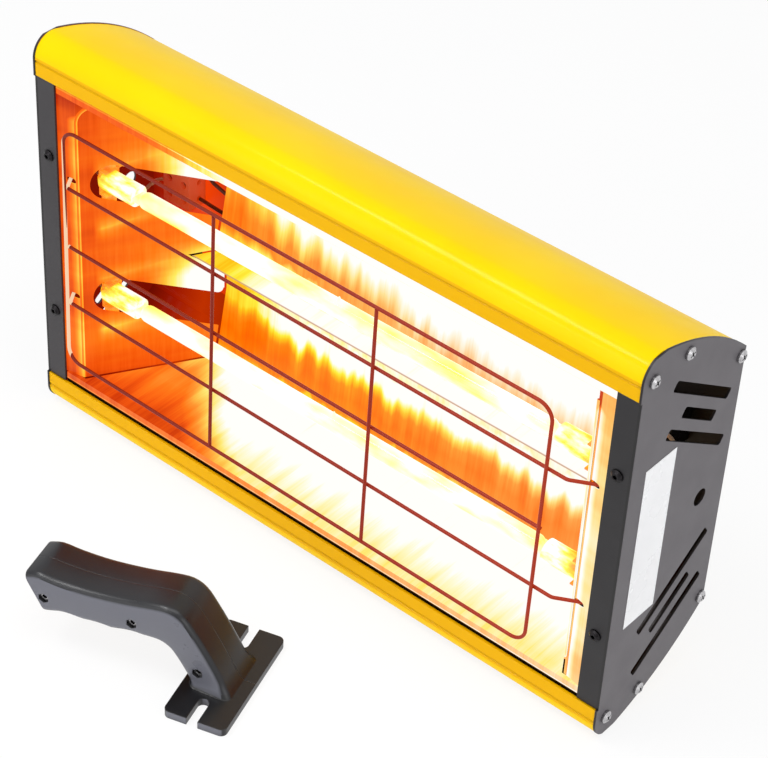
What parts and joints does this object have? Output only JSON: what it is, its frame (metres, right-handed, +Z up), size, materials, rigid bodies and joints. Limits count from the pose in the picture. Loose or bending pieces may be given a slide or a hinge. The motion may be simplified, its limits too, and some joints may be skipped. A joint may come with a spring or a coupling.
{
  "type": "infrared heat lamp",
  "caption": "Long box-shaped infrared heat lamp with quartz tubes in a folded bright reflector behind a wire guard, round-shouldered shell, vented end caps and a loose angled grip.",
  "frame": {"origin": "centre of the handle's bolt pattern, on the back panel's outer face", "axes": "+X along the tubes, to the lamp's right as seen from its front; +Y out of the back panel, so the lamp shines toward -Y; +Z up"},
  "size_m": [0.4452, 0.2738, 0.2737],
  "materials": {
    "yellow_coat": "satin powder coat",
    "grey_coat": "fine satin powder coat",
    "panel_coat": "fine satin powder coat",
    "reflector_sheet": "brushed bright sheet",
    "quartz": "clear quartz, lit",
    "filament": "glowing coil",
    "ceramic_end": "matt white ceramic",
    "clip_steel": "heat-tinted spring steel",
    "guard_wire": "heat-tinted bright wire",
    "zinc_screw": "bright zinc",
    "black_screw": "black oxide",
    "handle_plastic": "semi-gloss moulded",
    "switch_plastic": "gloss moulded",
    "rocker_red": "gloss moulded",
    "gland_plastic": "matt moulded",
    "terminal_plastic": "matt moulded",
    "lead_white": "woven glass sleeve",
    "lead_brown": "silicone sleeve",
    "label_blank": "blank foil label"
  },
  "bodies": {
    "lamp": {"top_shell": "yellow_coat", "bottom_shell": "yellow_coat", "left_end_cap": "grey_coat", "right_end_cap": "grey_coat", "left_cap_screws": "zinc_screw", "right_cap_screws": "zinc_screw", "left_flange_screws": "black_screw", "right_flange_screws": "black_screw", "back_panel": "panel_coat", "back_panel_screws": "black_screw", "handle_weld_nuts": "zinc_screw", "main_reflector": "reflector_sheet", "left_end_reflector": "reflector_sheet", "right_end_reflector": "reflector_sheet", "upper_quartz_tube": "quartz", "lower_quartz_tube": "quartz", "upper_filament": "filament", "lower_filament": "filament", "upper_tube_ceramics": "ceramic_end", "lower_tube_ceramics": "ceramic_end", "upper_tube_clips": "clip_steel", "lower_tube_clips": "clip_steel", "guard_frame": "guard_wire", "guard_rods": "guard_wire", "guard_crossbars": "guard_wire", "upper_switch_housing": "switch_plastic", "lower_switch_housing": "switch_plastic", "gland_body": "gland_plastic", "gland_cap": "gland_plastic", "gland_locknut": "gland_plastic", "terminal_block": "terminal_plastic", "terminal_screws": "zinc_screw", "earth_stud": "zinc_screw", "tube_leads": "lead_white", "switch_leads": "lead_brown", "rating_label": "label_blank"},
    "upper_rocker": {"upper_rocker": "rocker_red"},
    "lower_rocker": {"lower_rocker": "rocker_red"},
    "handle": {"handle_left_half": "handle_plastic", "handle_right_half": "handle_plastic", "handle_screws": "zinc_screw", "handle_nuts": "zinc_screw"}
  },
  "joints": [
    {"name": "upper_switch", "type": "hinge", "parent": "lamp", "child": "upper_rocker", "pos_m": [0.184, -0.003, 0.028], "axis": [-1, 0, 0], "range_deg": [0, 22]},
    {"name": "lower_switch", "type": "hinge", "parent": "lamp", "child": "lower_rocker", "pos_m": [0.184, -0.003, -0.028], "axis": [-1, 0, 0], "range_deg": [0, 22]},
    {"name": "handle_lift", "type": "slide", "parent": "lamp", "child": "handle", "axis": [0, 0, 1], "range_m": [0, 0.15]}
  ]
}
